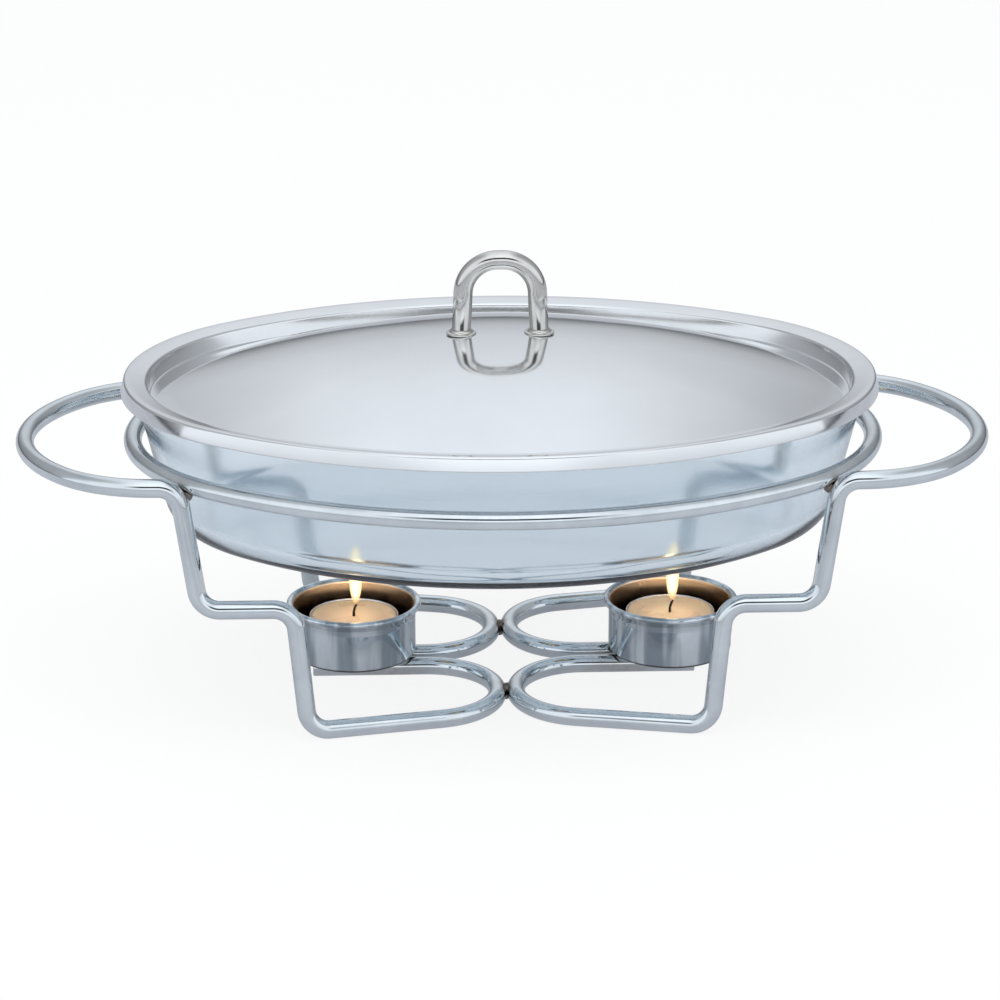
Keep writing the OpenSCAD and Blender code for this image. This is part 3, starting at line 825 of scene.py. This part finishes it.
def build_dish(glass_mat):
    """One thick pressed wall, from the middle of its underside round to the inside."""
    oval = Oval(RING_HALF_L - 4 * MM, RING_HALF_W, RING_END_R - 4 * MM, 288, DISH_X)
    section, heel_grow, inner_grow = dish_section()
    bottom, floor_z = DISH_LO.z, DISH_LO.z + DISH_FLOOR_T
    rings = ([oval.ring(heel_grow, bottom, k) for k in (0.3, 0.6, 0.85)]
             + [oval.ring(g, z) for g, z in section]
             + [oval.ring(inner_grow, floor_z, k) for k in (0.85, 0.6, 0.3)])
    tips = (np.array([DISH_X, 0, bottom]), np.array([DISH_X, 0, floor_z]))
    piece("glass_dish_pressed", skin(np.array(rings), tips=tips), glass_mat, "dish",
          "dish_glass", "glass_dish")


# ---------------------------------------------------------------- lid
def lid_profile(trough):
    """The outer skin's section as (inset from the lid's edge, z), from the hem inwards."""
    flange = trough + LID_TROUGH_H
    hem_z, crest_z = flange - 4.6 * MM, flange + 1.25 * MM
    edge = [(0.16 * MM, hem_z - 0.5 * MM), (0.03 * MM, hem_z - 0.38 * MM)]
    pressed = rounded([
        ((0.0, hem_z - 0.2 * MM), 0), ((0.0, hem_z), 0.3 * MM),
        ((1.45 * MM, crest_z - 0.1 * MM), 1.3 * MM), ((4.5 * MM, crest_z - 0.2 * MM), 7 * MM),
        ((11.2 * MM, crest_z - 1.5 * MM), 1.6 * MM), ((12.9 * MM, trough - 0.35 * MM), 0.8 * MM),
        ((18.5 * MM, trough + 1.45 * MM), 0),
    ], math.radians(6))
    return np.vstack([edge, pressed[:-1]])


def build_lid(lid_mat):
    """One pressed sheet: a hem, a sloping rim, a trough and a low dome."""
    oval = Oval(RING_HALF_L, RING_HALF_W, RING_END_R, 360, DISH_X)
    grow = (LID_HI.x - LID_LO.x) / 2 - RING_HALF_L
    apex = LID_HI.z
    trough = apex - LID_DOME_H
    dome_grow = grow - 15.5 * MM
    # The dome's rings, as shares of its own oval: close together at its edge and its top
    scales = [0.972, 0.95, 0.92, 0.88, 0.83, 0.77, 0.7, 0.62, 0.54, 0.46, 0.38, 0.3, 0.23,
              0.17, 0.12, 0.08, 0.045, 0.02]
    dome = [(k, trough + LID_DOME_H * (1 - k ** 2)) for k in scales]
    profile = lid_profile(trough)
    tangent = np.gradient(profile, axis=0)
    tangent /= np.linalg.norm(tangent, axis=1)[:, None]
    inward = np.c_[tangent[:, 1], -tangent[:, 0]]
    outer = [oval.ring(grow - inset, z) for inset, z in profile]
    outer += [oval.ring(dome_grow, z, k) for k, z in dome]
    inner = [oval.ring(grow - inset, z) for inset, z in profile + inward * LID_T]
    inner += [oval.ring(dome_grow, z - LID_T, k) for k, z in dome]
    tips = (np.array([DISH_X, 0, apex - LID_T]), np.array([DISH_X, 0, apex]))
    piece("lid_shell_pressed", skin(np.array(inner[::-1] + outer), tips=tips), lid_mat, "lid",
          "lid_steel", "lid_shell")


def collar_section(bar_r):
    """A collar's closed section as (radius, height): a flat skirt, a flare and a neck."""
    neck = bar_r + 0.16 * MM
    flare = rounded([((5.9 * MM, 0.68 * MM), 0), ((neck + 0.7 * MM, 1.0 * MM), 0.8 * MM),
                     ((neck + 0.35 * MM, 1.95 * MM), 0)], math.radians(12))
    return (arc(6.3 * MM, 0.35 * MM, 0.35 * MM, -90, 110, 8) + [tuple(p) for p in flare]
            + [(neck, 2.0 * MM), (neck, 1.0 * MM), (neck, 0.0)])


def build_handle(handle_mat, fastener_mat):
    """A bar bent over in a narrow arch, with a flared collar round each of its feet."""
    bar_r, lean = 8.5 / 2 * MM, 1.6 * MM
    half_span = (HANDLE_HI.x - HANDLE_LO.x) / 2 - bar_r
    foot_z, top_z = HANDLE_LO.z, HANDLE_HI.z - bar_r
    top_x = half_span - lean
    bend = top_x - 0.4 * MM
    path = rounded([
        ((-half_span, 0, foot_z), 0), ((-top_x, 0, top_z), bend),
        ((top_x, 0, top_z), bend), ((half_span, 0, foot_z), 0),
    ], math.radians(4)) + [DISH_X, 0, 0]
    piece("lid_handle_bent", skin(tube_rings(path, bar_r, 40)), handle_mat, "lid",
          "handle_steel", "lid_handle")
    section = collar_section(bar_r)
    collars = [
        skin(lathe_rings(section, (DISH_X + side * half_span, 0.0, foot_z), 72), closed=True)
        for side in SIDES.values()
    ]
    piece("handle_collars_flared", joined(collars), handle_mat, "lid", "handle_steel",
          "handle_collars")
    for node in ("handle_washers", "handle_screws"):
        paint(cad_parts[node], fastener_mat)


# ---------------------------------------------------------------- studio
def floor_material():
    """Near white when seen directly or through the glass, and a mid grey in the metal."""
    s = Shade("studio_floor").set(Roughness=0.9, Specular_IOR_Level=0.0)
    rays = s.node("ShaderNodeLightPath").outputs
    seen = s.math("MAXIMUM", rays["Is Camera Ray"], rays["Is Transmission Ray"])
    in_glass = s.remap(rays["Transmission Depth"], 0.0, 1.0, 0.0, 0.7)
    direct = s.math("MAXIMUM", seen, in_glass)
    mottled = s.remap(s.noise(1.6, 2.0), 0.35, 0.65, 0.0, 1.0)
    grey = s.mix(mottled, (0.50, 0.52, 0.55), (0.62, 0.63, 0.66))
    s.to("Base Color", s.mix(direct, grey, (0.98, 0.98, 0.98)))
    glow = s.node("ShaderNodeEmission")
    grey_glow = s.mix(mottled, (0.50, 0.52, 0.57), (0.62, 0.63, 0.68))
    s.link(s.mix(direct, grey_glow, (1.0, 1.0, 1.0)), glow.inputs["Color"])
    s.show(s.remap(direct, 0.0, 1.0, 0.5, 0.88), s.bsdf.outputs[0], glow.outputs[0])
    return s.mat


def build_floor():
    """A wide pale floor, just under the base wires."""
    half = 9.0
    mesh = bpy.data.meshes.new("floor")
    mesh.from_pydata([(-half, -half, 0), (half, -half, 0), (half, half, 0), (-half, half, 0)],
                     [], [(0, 1, 2, 3)])
    mesh.materials.append(floor_material())
    floor = bpy.data.objects.new("studio_floor", mesh)
    floor.location.z = CAD_BOX[0].z - 0.1 * MM
    bpy.context.scene.collection.objects.link(floor)


# Degrees over the object, from the back horizon to the front one, and the brightness there
SKY = [
    (0, 0.10), (4, 0.24), (9, 0.36), (19, 0.46), (30, 0.51), (45, 0.58), (62, 0.63), (74, 0.65),
    (84, 0.70), (112, 0.80), (158, 0.82), (167, 0.76), (175, 0.60), (180, 0.56),
]
SKY_TINT = (0.955, 1.0, 1.06)
SKY_STRENGTH = 1.5
# A black flag in front, over the camera: the same two columns, as a share of the sky's light
FLAG = [(137, 1.0), (141, 0.06), (157, 0.06), (160, 1.0)]
BACKDROP_STRENGTH = 1.7


class Sky(Shade):
    """The world's nodes, made with a material's short calls."""

    def __init__(self, name):
        self.world = bpy.data.worlds.new(name)
        self.world.use_nodes = True
        self.tree = self.world.node_tree
        self.tree.nodes.clear()
        self.out = self.node("ShaderNodeOutputWorld")
        self.coords = self.node("ShaderNodeTexCoord").outputs["Generated"]

    def ramp(self, share, stops, tint=(1.0, 1.0, 1.0)):
        """A colour that follows share, of 180 degrees, through stops of (degrees, level)."""
        made = self.node("ShaderNodeValToRGB")
        elements = made.color_ramp.elements
        for degrees, _ in stops[1:-1]:
            elements.new(degrees / 180)
        for element, (degrees, level) in zip(elements, stops):
            element.position = degrees / 180
            element.color = (*(level * channel for channel in tint), 1)
        self.link(share, made.inputs[0])
        return made.outputs[0]

    def towards_one(self, factor, level):
        """A level that rises to 1 as factor does."""
        made = self.node("ShaderNodeMix")
        self.link(factor, made.inputs["Factor"])
        self.link(level, made.inputs[2])
        made.inputs[3].default_value = 1.0
        return made.outputs[0]


def build_world():
    """A studio whose softbox runs along X overhead, with darker ends and a black flag."""
    s = Sky("studio")
    axes = s.axes()
    aside = s.math("ABSOLUTE", axes["X"])
    share = s.math("DIVIDE", s.math("ARCTAN2", axes["Z"], axes["Y"]), math.pi)
    dim_ends = s.remap(aside, 0.12, 0.5, 1.0, 0.48, smooth=True)
    in_front = s.remap(share, 0.50, 0.72, 0.0, 0.62, smooth=True)
    past_flag = s.remap(aside, 0.22, 0.5, 0.0, 1.0, smooth=True)
    ends = s.towards_one(in_front, dim_ends)
    flag = s.towards_one(past_flag, s.ramp(share, FLAG))
    light = s.node("ShaderNodeBackground")
    s.link(s.ramp(share, SKY, SKY_TINT), light.inputs["Color"])
    s.link(s.math("MULTIPLY", s.math("MULTIPLY", ends, SKY_STRENGTH), flag),
           light.inputs["Strength"])
    backdrop = s.node("ShaderNodeBackground")
    backdrop.inputs["Strength"].default_value = BACKDROP_STRENGTH
    rays = s.node("ShaderNodeLightPath").outputs
    s.show(rays["Is Camera Ray"], light.outputs[0], backdrop.outputs[0])
    bpy.context.scene.world = s.world


def build_lights():
    """One soft lamp overhead, which the metal and the camera don't see."""
    lamp = bpy.data.lights.new("softbox", "AREA")
    lamp.shape = "RECTANGLE"
    lamp.size, lamp.size_y = 2.6, 1.4
    lamp.energy = 22
    obj = bpy.data.objects.new("softbox", lamp)
    obj.location = (0.0, -0.5, 2.2)
    obj.rotation_euler = (math.radians(-12), 0, 0)
    bpy.context.scene.collection.objects.link(obj)
    obj.visible_camera = False
    obj.visible_glossy = False


def build_camera():
    """A long lens, a little above the object and a little to the left of its front."""
    focus = Vector((-1.5 * MM, 0.0, 80.0 * MM))
    elevation, azimuth = math.radians(19.27), math.radians(-2.11)
    distance, focal_share = 1.7, 3.805
    back = Vector((math.sin(azimuth) * math.cos(elevation),
                   -math.cos(azimuth) * math.cos(elevation), math.sin(elevation)))
    data = bpy.data.cameras.new("camera")
    data.sensor_width = 36.0
    data.lens = focal_share * data.sensor_width
    camera = bpy.data.objects.new("camera", data)
    camera.location = focus + back * distance
    camera.rotation_euler = (-back).to_track_quat("-Z", "Y").to_euler()
    bpy.context.scene.collection.objects.link(camera)
    bpy.context.scene.camera = camera


def main():
    bpy.context.scene.view_settings.view_transform = "Standard"
    build_camera()
    build_world()
    build_lights()
    build_floor()
    build_stand(chrome(), weld())
    for name in SIDES:
        build_cup(name)
    fastener_mat = fastener()
    build_tealights(foil(), wick(), flame_materials(), fastener_mat)
    build_dish(glass())
    build_lid(lid_steel())
    build_handle(handle_steel(), fastener_mat)


main()
